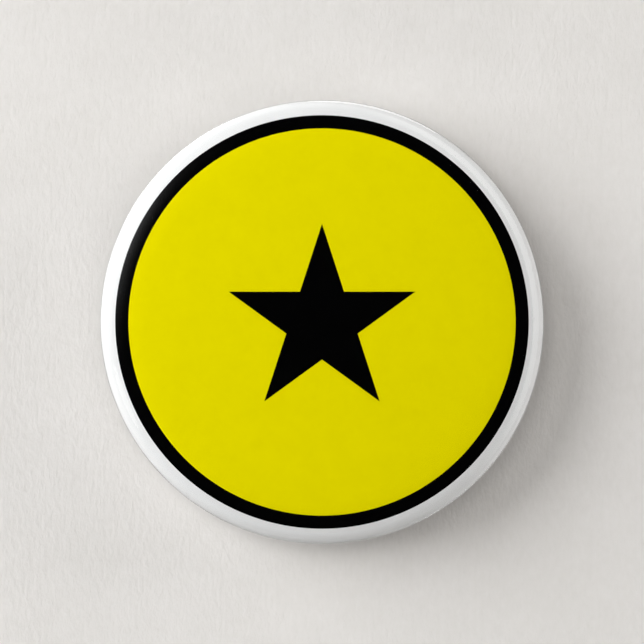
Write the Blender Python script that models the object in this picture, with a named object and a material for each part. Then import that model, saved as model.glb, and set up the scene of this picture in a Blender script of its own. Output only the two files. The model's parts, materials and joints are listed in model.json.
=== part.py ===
"""A round pin-back button badge, 57.15 mm across, as it hangs when worn.

+Z is the top of the artwork, the face looks towards -Y, and the garment is on the +Y side. The origin is on the
badge's axis, in the plane of the back plate's flat land. All the dimensions are in millimetres and degrees, and
MM turns them into Blender's metres.
"""

from math import asin, cos, pi, radians, sin, tan

import bmesh
import bpy
from mathutils import Vector

MM = 0.001

# The badge
BADGE_RADIUS = 57.15 / 2
CROWN_Y = -5.4  # the foremost point, at the middle of the face
DOME_RADIUS = 450.0  # of the nearly flat face
DOME_EDGE = 23.0  # where the face starts to turn back, from the axis
TURN_RADIUS = 13.0
SHOULDER_EDGE = 27.1  # where the round shoulder starts, from the axis
CURL_RADIUS = 1.5  # outside of the rolled edge
CURL_BACK_Y = -0.2  # the rearmost line of the rolled edge

# The three layers of the face, from the outside in
FILM_THICKNESS = 0.10
PAPER_THICKNESS = 0.15
SHELL_THICKNESS = 0.28
LAYER_GAP = 0.03

# The back plate, whose flat land is the plane y = 0
PLATE_THICKNESS = 0.30
FLOOR_Y = -0.8
LAND_EDGE = 21.34  # the land's inner edge, from the axis
STEP_RADIUS = 0.5  # both bends of the step between floor and land
STEP_SLOPE = 60.0
PLATE_WALL = 25.40  # outside of the wall that goes down into the rolled edge
WALL_BEND = 0.9
FLANGE_Y = -1.95  # rear face of the flange, just in front of the end of the rolled edge
FLANGE_BEND = 0.3
FLANGE_EDGE = 27.2

# The pin, on a bar across the upper half of the back plate
PIN_Z = 7.0
BAR_THICKNESS = 0.70
BAR_GAP = 0.05  # between the bar and the back plate, and under each rivet's head
BAR_HALF_WIDTH = 2.5
BAR_SHOULDER = 9.8  # half the length of the bar's wide middle
HINGE_X = -14.5
HINGE_STRIP_END = -16.6
HINGE_STRIP_HALF_WIDTH = 1.25
CATCH_X = 14.5
CATCH_STRIP_END = 17.2
CATCH_STRIP_HALF_WIDTH = 1.6
NEEDLE_Y = 2.2  # height of the closed needle, of its hinge and of the catch

EAR_INSIDE = 0.5  # inner and outer faces of the hinge's ears, from the needle's plane
EAR_OUTSIDE = 1.0
EAR_RADIUS = 1.35
NEEDLE_RADIUS = 0.40
NEEDLE_LENGTH = 31.9  # from the hinge to the point
NEEDLE_TAPER = 5.4
EYE_RADIUS = 1.05
EYE_THICKNESS = 0.70
HINGE_RIVET_RADIUS = 0.44
HINGE_HOLE_RADIUS = 0.52

HOUSING_LENGTH = 5.0
HOUSING_OUTSIDE = 2.10
HOUSING_INSIDE = 1.55
HOUSING_SLOT = 1.25  # the way out for the needle, all along the housing
WINDOW_LENGTH = 1.8  # the way for the thumb tab, in the middle of the housing
WINDOW_START = -42.0  # from the rear, towards the top of the badge
WINDOW_END = 94.0
ROLLER_LENGTH = 4.6
ROLLER_OUTSIDE = 1.45
ROLLER_BORE = 0.60
ROLLER_SLOT = 1.1
TAB_ANGLE = 75.0  # of the thumb tab with the catch unlocked, from the rear towards the top
TAB_REACH = 3.4
TAB_WIDTH = 1.4
TAB_THICKNESS = 0.7

BAR_RIVET_X = 8.0
BAR_RIVET_RADIUS = 0.9
BAR_HOLE_RADIUS = 1.0

# Facets
ROUND_SEGMENTS = 40
SMALL_SEGMENTS = 24
RIVET_SEGMENTS = 12
EDGE_ANGLE = radians(35)

AXES = {"X": Vector((1, 0, 0)), "Y": Vector((0, 1, 0)), "Z": Vector((0, 0, 1))}
RADIAL = {"X": Vector((0, 1, 0)), "Y": Vector((1, 0, 0)), "Z": Vector((1, 0, 0))}


def clear_scene():
    for old in list(bpy.data.objects):
        bpy.data.objects.remove(old, do_unlink=True)


def make_material(name, colour, roughness, metallic, alpha=1.0):
    material = bpy.data.materials.new(name)
    material.use_nodes = True
    shader = material.node_tree.nodes["Principled BSDF"]
    shader.inputs["Base Color"].default_value = (*colour, 1.0)
    shader.inputs["Roughness"].default_value = roughness
    shader.inputs["Metallic"].default_value = metallic
    shader.inputs["Alpha"].default_value = alpha
    return material


def make_empty(name, location):
    empty = bpy.data.objects.new(name, None)
    empty.location = Vector(location) * MM
    bpy.context.collection.objects.link(empty)
    return empty


def make_object(name, bm, material=None, location=(0, 0, 0), parent=None):
    """Turn bm, whose coordinates are in millimetres, into an object in metres with its faces out."""
    bmesh.ops.recalc_face_normals(bm, faces=bm.faces)
    bmesh.ops.scale(bm, vec=(MM, MM, MM), verts=bm.verts)
    mesh = bpy.data.meshes.new(name)
    bm.to_mesh(mesh)
    bm.free()
    mesh.shade_smooth()
    mesh.set_sharp_from_angle(angle=EDGE_ANGLE)
    if material:
        mesh.materials.append(material)
    made = bpy.data.objects.new(name, mesh)
    made.location = Vector(location) * MM
    made.parent = parent
    bpy.context.collection.objects.link(made)
    return made


def boolean(target, tool, operation):
    """Cut tool out of target, or join it on, and leave tool as a wire guide."""
    modifier = target.modifiers.new(tool.name, "BOOLEAN")
    modifier.object = tool
    modifier.operation = operation
    modifier.solver = "EXACT"
    tool.hide_render = True
    tool.display_type = "WIRE"


def bends(arcs, depth):
    """Points (r, y) along a sheet's outline, depth inside its outer surface.

    Each arc is (centre r, centre y, radius, first, last, steps). A point's outward normal is (sin a, -cos a) as a
    runs from first to last degrees, and the radius is negative where the sheet is hollow.
    """
    points = []
    for centre_r, centre_y, radius, first, last, steps in arcs:
        for i in range(steps + 1):
            a = radians(first + (last - first) * i / steps)
            reach = radius - depth
            points.append((centre_r + reach * sin(a), centre_y - reach * cos(a)))
    return without_repeats(points)


def without_repeats(points, least=0.001):
    kept = points[:1]
    for point in points[1:]:
        if abs(point[0] - kept[-1][0]) + abs(point[1] - kept[-1][1]) > least:
            kept.append(point)
    return kept


def spun(profile, axis, segments, closed=False):
    """A solid turned about an axis from (radius, height) points that start and end on it, or that form a loop."""
    bm = bmesh.new()
    verts = [bm.verts.new(RADIAL[axis] * r + AXES[axis] * h) for r, h in profile]
    edges = [bm.edges.new(pair) for pair in zip(verts, verts[1:])]
    if closed:
        edges.append(bm.edges.new((verts[-1], verts[0])))
    bmesh.ops.spin(
        bm,
        geom=verts + edges,
        cent=(0, 0, 0),
        axis=AXES[axis],
        angle=2 * pi,
        steps=segments,
        use_merge=True,
    )
    bmesh.ops.remove_doubles(bm, verts=bm.verts, dist=0.0001)
    return bm


def prism(outline, low, high):
    """A solid with an outline of (x, y) points, from low to high along Z."""
    bm = bmesh.new()
    face = bm.faces.new([bm.verts.new((x, y, low)) for x, y in outline])
    grown = bmesh.ops.extrude_face_region(bm, geom=[face])
    top = [v for v in grown["geom"] if isinstance(v, bmesh.types.BMVert)]
    bmesh.ops.translate(bm, verts=top, vec=(0, 0, high - low))
    return bm


def block(low, high):
    (x0, y0, z0), (x1, y1, z1) = low, high
    return prism([(x0, y0), (x1, y0), (x1, y1), (x0, y1)], z0, z1)


def along_x(bm):
    """Stand a prism's outline in the YZ plane, and its length along X."""
    for v in bm.verts:
        v.co = Vector((v.co.z, v.co.x, v.co.y))
    return bm


def along_y(bm):
    """Stand a prism's outline in the XZ plane, and its length along Y."""
    for v in bm.verts:
        v.co = Vector((v.co.x, v.co.z, v.co.y))
    return bm


def cylinder(radius, low, high, axis, segments):
    return spun([(0, low), (radius, low), (radius, high), (0, high)], axis, segments)


def rounded_top(centre_x, centre_y, radius, foot, steps=8):
    """An upright tongue's outline: a half circle about its centre, with straight sides down to foot."""
    outline = [(centre_x - radius, foot), (centre_x + radius, foot)]
    for i in range(steps + 1):
        a = pi * i / steps
        outline.append((centre_x + radius * cos(a), centre_y + radius * sin(a)))
    return outline


def face_arcs():
    """The bends of the face, from the crown over the shoulder to the end of the rolled edge."""
    dome_angle = asin(DOME_EDGE / DOME_RADIUS)
    dome_centre_y = CROWN_Y + DOME_RADIUS
    turn_r = (DOME_RADIUS - TURN_RADIUS) * sin(dome_angle)
    turn_y = dome_centre_y - (DOME_RADIUS - TURN_RADIUS) * cos(dome_angle)
    turn_angle = asin((SHOULDER_EDGE - turn_r) / TURN_RADIUS)
    shoulder_radius = (BADGE_RADIUS - SHOULDER_EDGE) / (1 - sin(turn_angle))
    shoulder_r = BADGE_RADIUS - shoulder_radius
    shoulder_y = turn_y - (TURN_RADIUS - shoulder_radius) * cos(turn_angle)
    dome_end = dome_angle * 180 / pi
    turn_end = turn_angle * 180 / pi
    curl_r = BADGE_RADIUS - CURL_RADIUS
    curl_y = CURL_BACK_Y - CURL_RADIUS
    return [
        (0, dome_centre_y, DOME_RADIUS, 0, dome_end, 2),
        (turn_r, turn_y, TURN_RADIUS, dome_end, turn_end, 3),
        (shoulder_r, shoulder_y, shoulder_radius, turn_end, 90, 3),
        (curl_r, curl_y, CURL_RADIUS, 90, 270, 5),
    ]


def make_face_layer(name, outer_depth, thickness, material):
    """One sheet of the face: the film, the paper or the shell."""
    arcs = face_arcs()
    outer = bends(arcs, outer_depth)
    inner = bends(arcs, outer_depth + thickness)
    return make_object(name, spun(outer + inner[::-1], "Y", ROUND_SEGMENTS), material)


def make_back_plate(material):
    slope = radians(STEP_SLOPE)
    bend_rise = 2 * STEP_RADIUS * (1 - cos(slope))
    step_run = 2 * STEP_RADIUS * sin(slope) + (-FLOOR_Y - bend_rise) / tan(slope)
    arcs = [
        (LAND_EDGE - step_run, FLOOR_Y + STEP_RADIUS, -STEP_RADIUS, 180, 180 + STEP_SLOPE, 1),
        (LAND_EDGE, -STEP_RADIUS, STEP_RADIUS, 180 + STEP_SLOPE, 180, 1),
        (PLATE_WALL - WALL_BEND, -WALL_BEND, WALL_BEND, 180, 90, 2),
        (PLATE_WALL + FLANGE_BEND, FLANGE_Y + FLANGE_BEND, -FLANGE_BEND, 90, 180, 1),
    ]

    def side(depth):
        return [(0, FLOOR_Y - depth)] + bends(arcs, depth) + [(FLANGE_EDGE, FLANGE_Y - depth)]

    profile = side(0) + side(PLATE_THICKNESS)[::-1]
    plate = make_object("back_plate", spun(profile, "Y", ROUND_SEGMENTS), material)
    for label, x in (("left", -BAR_RIVET_X), ("right", BAR_RIVET_X)):
        hole = cylinder(BAR_HOLE_RADIUS, FLOOR_Y - 1, FLOOR_Y + 1, "Y", RIVET_SEGMENTS)
        boolean(plate, make_object(f"plate_hole_{label}", hole, location=(x, 0, PIN_Z)), "DIFFERENCE")
    return plate


def bar_outline():
    """The bar from above: a wide middle, a narrow strip under the hinge and another under the catch."""
    hinge_side = -BAR_SHOULDER - 1.2
    catch_side = BAR_SHOULDER + 1.2
    upper = [
        (HINGE_STRIP_END, HINGE_STRIP_HALF_WIDTH - 0.5),
        (HINGE_STRIP_END + 0.5, HINGE_STRIP_HALF_WIDTH),
        (hinge_side, HINGE_STRIP_HALF_WIDTH),
        (hinge_side + 0.5, BAR_HALF_WIDTH - 0.4),
        (hinge_side + 1.2, BAR_HALF_WIDTH),
        (catch_side - 1.2, BAR_HALF_WIDTH),
        (catch_side - 0.5, BAR_HALF_WIDTH - 0.3),
        (catch_side, CATCH_STRIP_HALF_WIDTH),
        (CATCH_STRIP_END - 0.5, CATCH_STRIP_HALF_WIDTH),
        (CATCH_STRIP_END, CATCH_STRIP_HALF_WIDTH - 0.5),
    ]
    return upper + [(x, -z) for x, z in reversed(upper)]


def make_pin_bar(material, parent):
    """The bar with its hinge ears and its catch housing. Its own origin is over the middle, at the bar's underside."""
    axis_height = NEEDLE_Y - parent.location.y / MM
    bar = make_object("pin_bar", along_y(prism(bar_outline(), 0, BAR_THICKNESS)), material, parent=parent)

    ear_outline = rounded_top(HINGE_X, axis_height, EAR_RADIUS, BAR_THICKNESS / 2)
    for label, low, high in (("upper", EAR_INSIDE, EAR_OUTSIDE), ("lower", -EAR_OUTSIDE, -EAR_INSIDE)):
        ear = make_object(f"ear_{label}", prism(ear_outline, low, high), parent=parent)
        boolean(bar, ear, "UNION")
    hole = cylinder(HINGE_HOLE_RADIUS, -2, 2, "Z", RIVET_SEGMENTS)
    pivot = (HINGE_X, axis_height, 0)
    boolean(bar, make_object("ear_holes", hole, location=pivot, parent=parent), "DIFFERENCE")

    half = HOUSING_LENGTH / 2
    neck_top = axis_height - (HOUSING_INSIDE + HOUSING_OUTSIDE) / 2
    neck = block((CATCH_X - half + 0.3, BAR_THICKNESS / 2, -0.9), (CATCH_X + half - 0.3, neck_top, 0.9))
    boolean(bar, make_object("housing_neck", neck, parent=parent), "UNION")
    centre = (CATCH_X, axis_height, 0)
    wall = [
        (HOUSING_INSIDE, -half),
        (HOUSING_OUTSIDE, -half),
        (HOUSING_OUTSIDE, half),
        (HOUSING_INSIDE, half),
    ]
    tube = spun(wall, "X", SMALL_SEGMENTS, closed=True)
    boolean(bar, make_object("housing_tube", tube, location=centre, parent=parent), "UNION")
    slot = block((-half - 1, 0, -HOUSING_SLOT / 2), (half + 1, HOUSING_OUTSIDE + 1, HOUSING_SLOT / 2))
    boolean(bar, make_object("housing_slot", slot, location=centre, parent=parent), "DIFFERENCE")
    window = make_object("housing_window", along_x(window_prism()), location=centre, parent=parent)
    boolean(bar, window, "DIFFERENCE")
    for label, x in (("left", -BAR_RIVET_X), ("right", BAR_RIVET_X)):
        rivet_hole = cylinder(BAR_HOLE_RADIUS, -1, BAR_THICKNESS + 1, "Y", RIVET_SEGMENTS)
        hole_tool = make_object(f"bar_hole_{label}", rivet_hole, location=(x, 0, 0), parent=parent)
        boolean(bar, hole_tool, "DIFFERENCE")
    return bar


def window_prism(steps=8):
    """A sector that clears the thumb tab's way through the housing's wall."""
    near = ROLLER_OUTSIDE - 0.5
    far = HOUSING_OUTSIDE + 1
    angles = [radians(WINDOW_START + (WINDOW_END - WINDOW_START) * i / steps) for i in range(steps + 1)]
    outline = [(near * cos(a), near * sin(a)) for a in angles]
    outline += [(far * cos(a), far * sin(a)) for a in reversed(angles)]
    return prism(outline, -WINDOW_LENGTH / 2, WINDOW_LENGTH / 2)


def make_needle(material, parent):
    """The needle along +X from its hinge, with its origin on the hinge's axis."""
    neck_end = 2.8
    neck_angle = radians(50)
    outline = []
    for i in range(13):
        a = neck_angle + (2 * pi - 2 * neck_angle) * i / 12
        outline.append((EYE_RADIUS * cos(a), EYE_RADIUS * sin(a)))
    outline += [(neck_end, -NEEDLE_RADIUS), (neck_end, NEEDLE_RADIUS)]
    half = EYE_THICKNESS / 2
    needle = make_object("pin_needle", prism(outline, -half, half), material, parent=parent)

    taper_start = NEEDLE_LENGTH - NEEDLE_TAPER
    shank = [
        (0, neck_end - 0.6),
        (NEEDLE_RADIUS, neck_end - 0.3),
        (NEEDLE_RADIUS, taper_start),
        (NEEDLE_RADIUS * 0.7, taper_start + NEEDLE_TAPER * 0.6),
        (NEEDLE_RADIUS * 0.3, NEEDLE_LENGTH - 0.5),
        (0, NEEDLE_LENGTH),
    ]
    boolean(needle, make_object("needle_shank", spun(shank, "X", RIVET_SEGMENTS), parent=parent), "UNION")
    eye = cylinder(HINGE_HOLE_RADIUS, -2, 2, "Z", RIVET_SEGMENTS)
    boolean(needle, make_object("needle_eye_hole", eye, parent=parent), "DIFFERENCE")
    return needle


def make_catch_roller(material, parent):
    """The slotted roller with its thumb tab, with its origin on its own axis, turned to let the needle out."""
    half = ROLLER_LENGTH / 2
    wall = [(ROLLER_BORE, -half), (ROLLER_OUTSIDE, -half), (ROLLER_OUTSIDE, half), (ROLLER_BORE, half)]
    roller = make_object("catch_roller", spun(wall, "X", SMALL_SEGMENTS, closed=True), material, parent=parent)
    slot = block((-half - 1, 0, -ROLLER_SLOT / 2), (half + 1, ROLLER_OUTSIDE + 1, ROLLER_SLOT / 2))
    boolean(roller, make_object("roller_slot", slot, parent=parent), "DIFFERENCE")
    foot = (ROLLER_BORE + ROLLER_OUTSIDE) / 2
    tab = make_object("roller_tab", tab_prism(foot), parent=parent)
    tab.rotation_euler.x = radians(TAB_ANGLE)
    boolean(roller, tab, "UNION")
    return roller


def tab_prism(foot):
    """The thumb tab, standing up along +Y, with a round end."""
    half_width = TAB_WIDTH / 2
    outline = rounded_top(0, TAB_REACH - half_width, half_width, foot, steps=6)
    return prism(outline, -TAB_THICKNESS / 2, TAB_THICKNESS / 2)


def rivet_profile(shank, low, high, low_head, high_head):
    """A rivet that grips from low to high, with a (radius, height) head at each end."""
    low_radius, low_height = low_head
    high_radius, high_height = high_head
    return [
        (0, low - low_height),
        (low_radius * 0.6, low - low_height * 0.85),
        (low_radius, low - low_height * 0.25),
        (low_radius, low),
        (shank, low),
        (shank, high),
        (high_radius, high),
        (high_radius, high + high_height * 0.25),
        (high_radius * 0.6, high + high_height * 0.85),
        (0, high + high_height),
    ]


def make_bar_rivet(name, x, material):
    """Held through the bar and the back plate, with its low head inside the badge."""
    low = FLOOR_Y - PLATE_THICKNESS - BAR_GAP
    high = FLOOR_Y + BAR_GAP + BAR_THICKNESS + BAR_GAP
    profile = rivet_profile(BAR_RIVET_RADIUS, low, high, (1.4, 0.4), (1.5, 0.6))
    return make_object(name, spun(profile, "Y", RIVET_SEGMENTS), material, location=(x, 0, PIN_Z))


def make_hinge_rivet(material):
    grip = EAR_OUTSIDE + BAR_GAP
    profile = rivet_profile(HINGE_RIVET_RADIUS, -grip, grip, (0.85, 0.35), (0.85, 0.35))
    bm = spun(profile, "Z", RIVET_SEGMENTS)
    return make_object("hinge_rivet", bm, material, location=(HINGE_X, NEEDLE_Y, PIN_Z))


def main():
    clear_scene()
    film = make_material("clear film", (0.97, 0.97, 0.96), 0.08, 0.0, alpha=0.15)
    printed = make_material("printed paper", (0.74, 0.65, 0.0), 0.5, 0.0)
    tinplate = make_material("tinplate", (0.62, 0.62, 0.60), 0.32, 1.0)
    plate_tin = make_material("back tinplate", (0.60, 0.60, 0.59), 0.30, 1.0)
    nickel = make_material("nickel plate", (0.66, 0.64, 0.60), 0.22, 1.0)
    steel = make_material("needle steel", (0.60, 0.60, 0.61), 0.18, 1.0)
    rivet_steel = make_material("rivet steel", (0.58, 0.57, 0.55), 0.30, 1.0)

    paper_depth = FILM_THICKNESS + LAYER_GAP
    shell_depth = paper_depth + PAPER_THICKNESS + LAYER_GAP
    make_face_layer("clear_film", 0, FILM_THICKNESS, film)
    make_face_layer("artwork_paper", paper_depth, PAPER_THICKNESS, printed)
    make_face_layer("front_shell", shell_depth, SHELL_THICKNESS, tinplate)
    make_back_plate(plate_tin)

    bar_seat = make_empty("bar_seat", (0, FLOOR_Y + BAR_GAP, PIN_Z))
    needle_pivot = make_empty("needle_pivot", (HINGE_X, NEEDLE_Y, PIN_Z))
    catch_pivot = make_empty("catch_pivot", (CATCH_X, NEEDLE_Y, PIN_Z))
    make_pin_bar(nickel, bar_seat)
    make_needle(steel, needle_pivot)
    make_catch_roller(nickel, catch_pivot)
    make_hinge_rivet(rivet_steel)
    make_bar_rivet("bar_rivet_left", -BAR_RIVET_X, rivet_steel)
    make_bar_rivet("bar_rivet_right", BAR_RIVET_X, rivet_steel)


main()
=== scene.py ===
"""The looks of a round pin-back button badge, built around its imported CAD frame.

Shapes are in millimetres and degrees until make_piece() turns them into Blender's metres. The stage is in
metres. Every piece is built where it rests: the badge's axis is Y, its face looks towards -Y, and +Z is up.
"""

import json
from math import asin, cos, degrees, hypot, pi, radians, sin, sqrt, tan

import bmesh
import bpy
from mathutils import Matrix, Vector
from mathutils.geometry import delaunay_2d_cdt


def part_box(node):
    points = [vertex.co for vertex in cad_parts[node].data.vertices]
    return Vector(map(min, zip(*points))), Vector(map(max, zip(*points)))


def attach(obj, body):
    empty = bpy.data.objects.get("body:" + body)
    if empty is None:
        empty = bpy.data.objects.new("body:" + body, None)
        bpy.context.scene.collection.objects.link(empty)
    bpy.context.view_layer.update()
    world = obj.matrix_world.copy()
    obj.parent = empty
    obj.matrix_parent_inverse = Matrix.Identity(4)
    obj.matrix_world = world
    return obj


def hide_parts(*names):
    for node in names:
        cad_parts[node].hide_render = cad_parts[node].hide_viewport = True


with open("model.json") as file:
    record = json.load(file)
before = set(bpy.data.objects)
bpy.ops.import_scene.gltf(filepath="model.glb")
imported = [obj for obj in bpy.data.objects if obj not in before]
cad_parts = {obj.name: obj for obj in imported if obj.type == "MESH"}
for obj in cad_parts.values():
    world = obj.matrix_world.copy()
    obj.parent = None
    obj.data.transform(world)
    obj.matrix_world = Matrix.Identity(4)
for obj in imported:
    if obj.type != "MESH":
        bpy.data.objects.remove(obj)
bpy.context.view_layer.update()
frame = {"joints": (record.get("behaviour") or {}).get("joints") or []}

MM = 0.001


def box_mm(node):
    low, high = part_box(node)
    return [v / MM for v in low], [v / MM for v in high]


def joint_place(name):
    joint = next(j for j in frame["joints"] if j["name"] == name)
    return [v / MM for v in joint["pos_m"]]


FILM_LOW, FILM_HIGH = box_mm("clear_film")
BAR_LOW, BAR_HIGH = box_mm("pin_bar")
HINGE = joint_place("needle_swing")
CATCH = joint_place("catch_turn")

# The face, as in the CAD
BADGE_RADIUS = FILM_HIGH[0]
CROWN_Y = FILM_LOW[1]
CURL_BACK_Y = -0.2
DOME_RADIUS = 450.0
DOME_EDGE = 23.0
TURN_RADIUS = 13.0
SHOULDER_EDGE = 27.1
CURL_RADIUS = 1.5
FILM_THICKNESS = 0.10
PAPER_THICKNESS = 0.15
SHELL_THICKNESS = 0.28
LAYER_GAP = 0.03
PAPER_DEPTH = FILM_THICKNESS + LAYER_GAP
SHELL_DEPTH = PAPER_DEPTH + PAPER_THICKNESS + LAYER_GAP

# The back plate, as in the CAD
PLATE_THICKNESS = 0.30
FLOOR_Y = -0.8
LAND_EDGE = 21.34
STEP_RADIUS = 0.5
STEP_SLOPE = 60.0
PLATE_WALL = 25.40
WALL_BEND = 0.9
FLANGE_Y = -1.95
FLANGE_BEND = 0.3
FLANGE_EDGE = 27.2
OUTLINE_Y = CURL_BACK_Y - CURL_RADIUS

# The gathers of the film and the paper round the rolled edge, by the angle of the sheet's normal
GATHER_START = 100.0
GATHER_GROWTH = 100.0
FOLD_HEIGHT = 0.14
FOLD_WAVES = 52
RIPPLE_HEIGHT = 0.02
RIPPLE_WAVES = 131

# The artwork: a plain five-pointed star inside a ring
RING_INSIDE = 24.70
RING_OUTSIDE = 26.42
STAR_POINTS = 5
STAR_RADIUS = 12.5
STAR_NOTCH = 0.382 * STAR_RADIUS
YELLOW = (0.862, 0.765, 0.0)
BLACK = (0.0012, 0.0012, 0.0013)
PAPER_WHITE = (0.88, 0.88, 0.875)

# The pin, as in the CAD
BAR_GAP = 0.05
BAR_THICKNESS = 0.70
BAR_HALF_WIDTH = 2.5
BAR_SHOULDER = 9.8
HINGE_STRIP_HALF_WIDTH = 1.25
CATCH_STRIP_HALF_WIDTH = 1.6
EAR_INSIDE = 0.5
EAR_OUTSIDE = 1.0
EAR_RADIUS = 1.35
NEEDLE_RADIUS = 0.40
NEEDLE_LENGTH = 31.9
NEEDLE_TAPER = 6.5
EYE_RING_RADIUS = 1.05
EYE_THICKNESS = 0.70
PIVOT_HOLE = 0.52
HOUSING_LENGTH = 5.0
HOUSING_OUTSIDE = 2.10
HOUSING_INSIDE = 1.55
HOUSING_SLOT = 1.25
WINDOW_LENGTH = 1.8
WINDOW_START = -42.0
WINDOW_END = 94.0
ROLLER_LENGTH = 4.6
ROLLER_OUTSIDE = 1.45
ROLLER_BORE = 0.60
ROLLER_SLOT = 1.1
TAB_ANGLE = 75.0
TAB_REACH = 3.4
TAB_WIDTH = 1.4
TAB_THICKNESS = 0.7
BAR_RIVET_X = 8.0
PIN_Z = HINGE[2]

# The pin's finer shapes
BAR_EDGE = 0.12
EAR_EDGE = 0.09
EAR_SINK = 0.25
NECK_INSET = 0.3
NECK_FOOT = 1.15
NECK_HEAD = 0.8
NECK_SINK = 0.2
NECK_EDGE = 0.1
HOUSING_EDGE = 0.12
WINDOW_CORNER = 0.28
ROLLER_EDGE = 0.14
ROLLER_SLOT_FLARE = 1.5
TAB_FOOT_SHARE = 0.85
EYE_EDGE = 0.12
SHANK_START = 0.75
SHANK_BLEND = 2.9
SHANK_HALF_WIDTH = 0.78
SHANK_SINK = 0.01
POINT_POWER = 0.8
POINT_RADIUS = 0.012
POINT_BLUNT = 0.02

# The rivets, with each head as (radius, height)
RIVET_HOLE = 1.0
HINGE_SHANK = 0.44
HINGE_HEAD = (0.85, 0.35)
BAR_SHANK = 0.9
BAR_HEAD_INSIDE = (1.4, 0.4)
BAR_HEAD_OUTSIDE = (1.5, 0.6)
HEAD_RIM_SHARE = 0.18

# Facets, and the distances below which points count as one
RIM_SEGMENTS = 720
ROUND_SEGMENTS = 288
SMALL_SEGMENTS = 64
HOLE_SEGMENTS = 48
PIVOT_SEGMENTS = 40
SAME_POINT = 0.002
WELD = 0.0005
TINY = 1e-6

# The stage: the wall, the camera and the lights
WALL_GAP = 0.25
FRAME_WIDTH = 82.9
LENS = 135.0
SENSOR = 36.0
COOL = (0.975, 0.99, 1.0)
NEUTRAL = (1.0, 0.995, 0.985)
WARM = (1.0, 0.99, 0.975)
FRONT_DISTANCE = 0.6


# ---------------------------------------------------------------- mesh tools


def make_piece(name, bm, body, replaced, materials, location=(0, 0, 0), sharp=35):
    """Turn bm, in millimetres, into a piece that rides on a body and stands for a CAD node."""
    bmesh.ops.recalc_face_normals(bm, faces=bm.faces)
    bmesh.ops.scale(bm, vec=(MM, MM, MM), verts=bm.verts)
    mesh = bpy.data.meshes.new(name)
    bm.to_mesh(mesh)
    bm.free()
    mesh.shade_smooth()
    mesh.set_sharp_from_angle(angle=radians(sharp))
    for material in materials:
        mesh.materials.append(material)
    piece = bpy.data.objects.new(name, mesh)
    piece.location = Vector(location) * MM
    bpy.context.collection.objects.link(piece)
    bpy.context.view_layer.update()
    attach(piece, body)
    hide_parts(replaced)
    return piece


def bends(arcs, depth):
    """Points (r, y, normal angle) along a sheet's outline, depth inside its outer surface.

    Each arc is (centre r, centre y, radius, first, last, steps), with the outward normal (sin a, -cos a) at a
    degrees and a negative radius where the sheet is hollow.
    """
    points = []
    for centre_r, centre_y, radius, first, last, steps in arcs:
        for i in range(steps + 1):
            angle = first + (last - first) * i / steps
            a = radians(angle)
            reach = radius - depth
            point = (centre_r + reach * sin(a), centre_y - reach * cos(a), angle)
            if not points or hypot(point[0] - points[-1][0], point[1] - points[-1][1]) > SAME_POINT:
                points.append(point)
    return points


def join_rings(bm, near, far, material=0):
    """Add the faces between two rings of vertices, either of which may be a single point."""
    count = max(len(near), len(far))
    for i in range(count):
        j = (i + 1) % count
        if len(near) == 1:
            corners = (near[0], far[i], far[j])
        elif len(far) == 1:
            corners = (near[i], far[0], near[j])
        else:
            corners = (near[i], far[i], far[j], near[j])
        bm.faces.new(corners).material_index = material


def turn_about_y(bm, profile, segments, lift=None, material=0):
    """Add a surface turned about Y from (r, y, normal angle) points, raised by lift(theta, point)."""
    rings = []
    for point in profile:
        if point[0] < TINY:
            rings.append([bm.verts.new((0, point[1], 0))])
            continue
        ring = []
        for i in range(segments):
            theta = 2 * pi * i / segments
            r, y = point[0], point[1]
            if lift:
                height = lift(theta, point)
                r += height * sin(radians(point[2]))
                y -= height * cos(radians(point[2]))
            ring.append(bm.verts.new((r * cos(theta), y, r * sin(theta))))
        rings.append(ring)
    for near, far in zip(rings, rings[1:]):
        join_rings(bm, near, far, material)


def spun(profile, axis, segments):
    """A solid turned about Y or Z from (radius, height) points that start and end on it, or form a ring."""
    closed = profile[0][0] > TINY
    bm = bmesh.new()
    rings = []
    for r, height in profile:
        count = segments if r > TINY else 1
        ring = []
        for i in range(count):
            a = 2 * pi * i / segments
            u, v = r * cos(a), r * sin(a)
            place = {"Y": (u, height, v), "Z": (u, v, height)}[axis]
            ring.append(bm.verts.new(place))
        rings.append(ring)
    pairs = list(zip(rings, rings[1:])) + ([(rings[-1], rings[0])] if closed else [])
    for near, far in pairs:
        join_rings(bm, near, far)
    return bm


def prism(outline, low, high, edge=0.0, steps=3):
    """A solid with an outline of (x, y) points from low to high along Z, its two rims rounded by edge."""
    bm = bmesh.new()
    face = bm.faces.new([bm.verts.new((x, y, low)) for x, y in outline])
    grown = bmesh.ops.extrude_face_region(bm, geom=[face])
    top = [v for v in grown["geom"] if isinstance(v, bmesh.types.BMVert)]
    bmesh.ops.translate(bm, verts=top, vec=(0, 0, high - low))
    if edge:
        rims = [e for e in bm.edges if abs(e.verts[0].co.z - e.verts[1].co.z) < TINY]
        bmesh.ops.bevel(bm, geom=rims, offset=edge, segments=steps, profile=0.5, affect="EDGES")
    return bm


def bore(radius, low, high, axis, segments=HOLE_SEGMENTS):
    """A plain cylinder about Y or Z, to cut a hole with."""
    return spun([(0, low), (radius, low), (radius, high), (0, high)], axis, segments)


def moved(bm, place):
    """Send every vertex to place(x, y, z)."""
    for v in bm.verts:
        v.co = Vector(place(*v.co))
    return bm


def shifted(bm, dx, dy, dz):
    return moved(bm, lambda x, y, z: (x + dx, y + dy, z + dz))


def loft(sections):
    """A solid through closed sections, which are lists of as many (x, y, z) points each."""
    bm = bmesh.new()
    rings = [[bm.verts.new(p) for p in section] for section in sections]
    count = len(rings[0])
    for near, far in zip(rings, rings[1:]):
        for i in range(count):
            j = (i + 1) % count
            bm.faces.new((near[i], near[j], far[j], far[i]))
    bm.faces.new(rings[0])
    bm.faces.new(rings[-1])
    return bm


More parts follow.
